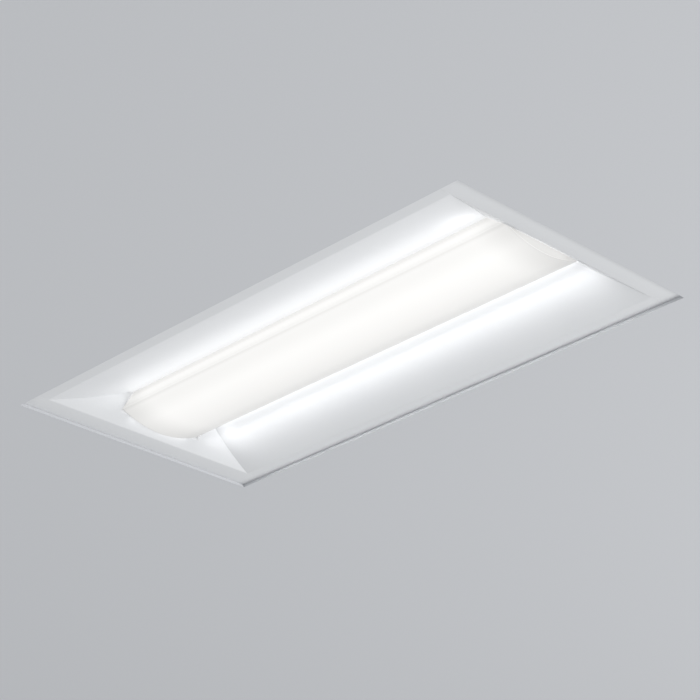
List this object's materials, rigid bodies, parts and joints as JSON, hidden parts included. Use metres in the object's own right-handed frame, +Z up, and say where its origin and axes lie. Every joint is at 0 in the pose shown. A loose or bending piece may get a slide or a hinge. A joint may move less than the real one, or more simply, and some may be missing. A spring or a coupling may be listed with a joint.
{
  "type": "recessed troffer light",
  "caption": "Recessed lay-in troffer light with a bowed centre lens that swings down, sloped white reflectors and a flat flange frame.",
  "frame": {"origin": "middle of the flange's underside, the face that rests on the ceiling frame", "axes": "+X along the length, +Y across, +Z up into the ceiling space"},
  "size_m": [1.213, 0.603, 0.0975],
  "materials": {
    "white_enamel": "matt white baked enamel",
    "lens_acrylic": "frosted white acrylic, lit from inside",
    "galvanised_steel": "galvanised sheet",
    "zinc_steel": "bright zinc plate",
    "spring_steel": "blued spring strip",
    "led_board": "white solder mask with LED packages",
    "white_plastic": "moulded, satin",
    "orange_plastic": "moulded, satin",
    "grey_plastic": "moulded, satin",
    "grommet_rubber": "moulded",
    "black_lead": "extruded insulation",
    "white_lead": "extruded insulation",
    "green_lead": "extruded insulation",
    "red_lead": "extruded insulation",
    "blue_lead": "extruded insulation",
    "green_steel": "green dyed zinc"
  },
  "bodies": {
    "fixture": {"side_reflector_near": "white_enamel", "side_reflector_far": "white_enamel", "end_reflector_left": "white_enamel", "end_reflector_right": "white_enamel", "pivot_bracket_left": "zinc_steel", "pivot_bracket_right": "zinc_steel", "lens_catch_left": "spring_steel", "lens_catch_right": "spring_steel", "bracket_rivets": "zinc_steel", "led_tray": "white_enamel", "led_board_1": "led_board", "led_board_2": "led_board", "led_board_3": "led_board", "led_board_4": "led_board", "led_board_screws": "zinc_steel", "board_connectors": "white_plastic", "board_jumpers": "white_lead", "tray_grommet": "grommet_rubber", "driver_base": "zinc_steel", "driver_can": "white_enamel", "driver_input_terminal": "orange_plastic", "driver_output_terminal": "grey_plastic", "driver_screws": "zinc_steel", "line_lead": "black_lead", "neutral_lead": "white_lead", "ground_lead": "green_lead", "output_lead_near": "red_lead", "output_lead_far": "blue_lead", "supply_connectors": "grey_plastic", "ground_screw": "green_steel", "housing_channel": "galvanised_steel", "housing_side_near": "galvanised_steel", "housing_side_far": "galvanised_steel", "end_plate_left": "galvanised_steel", "end_plate_right": "galvanised_steel", "access_hinge_pin": "zinc_steel", "grid_clip_rivets": "zinc_steel", "tray_screws": "zinc_steel", "side_rivets": "zinc_steel", "end_rivets": "zinc_steel", "channel_rivets": "zinc_steel", "end_plate_screws": "zinc_steel"},
    "lens": {"lens_diffuser": "lens_acrylic", "lens_end_cap_left": "lens_acrylic", "lens_end_cap_right": "lens_acrylic"},
    "wiring_cover": {"access_cover": "galvanised_steel"},
    "clip_left_near": {"grid_clip_left_near": "zinc_steel"},
    "clip_left_far": {"grid_clip_left_far": "zinc_steel"},
    "clip_right_near": {"grid_clip_right_near": "zinc_steel"},
    "clip_right_far": {"grid_clip_right_far": "zinc_steel"}
  },
  "joints": [
    {"name": "lens_hinge", "type": "hinge", "parent": "fixture", "child": "lens", "pos_m": [0, -0.09, 0.028], "axis": [-1, 0, 0], "range_deg": [0, 85]},
    {"name": "cover_hinge", "type": "hinge", "parent": "fixture", "child": "wiring_cover", "pos_m": [0.51, -0.054, 0.0949], "axis": [1, 0, 0], "range_deg": [0, 110]},
    {"name": "clip_left_near_swing", "type": "hinge", "parent": "fixture", "child": "clip_left_near", "pos_m": [-0.54, -0.2925, 0.0399], "axis": [0, 0, -1], "range_deg": [0, 90]},
    {"name": "clip_left_far_swing", "type": "hinge", "parent": "fixture", "child": "clip_left_far", "pos_m": [-0.54, 0.2925, 0.0399], "axis": [0, 0, 1], "range_deg": [0, 90]},
    {"name": "clip_right_near_swing", "type": "hinge", "parent": "fixture", "child": "clip_right_near", "pos_m": [0.54, -0.2925, 0.0399], "axis": [0, 0, 1], "range_deg": [0, 90]},
    {"name": "clip_right_far_swing", "type": "hinge", "parent": "fixture", "child": "clip_right_far", "pos_m": [0.54, 0.2925, 0.0399], "axis": [0, 0, -1], "range_deg": [0, 90]}
  ]
}
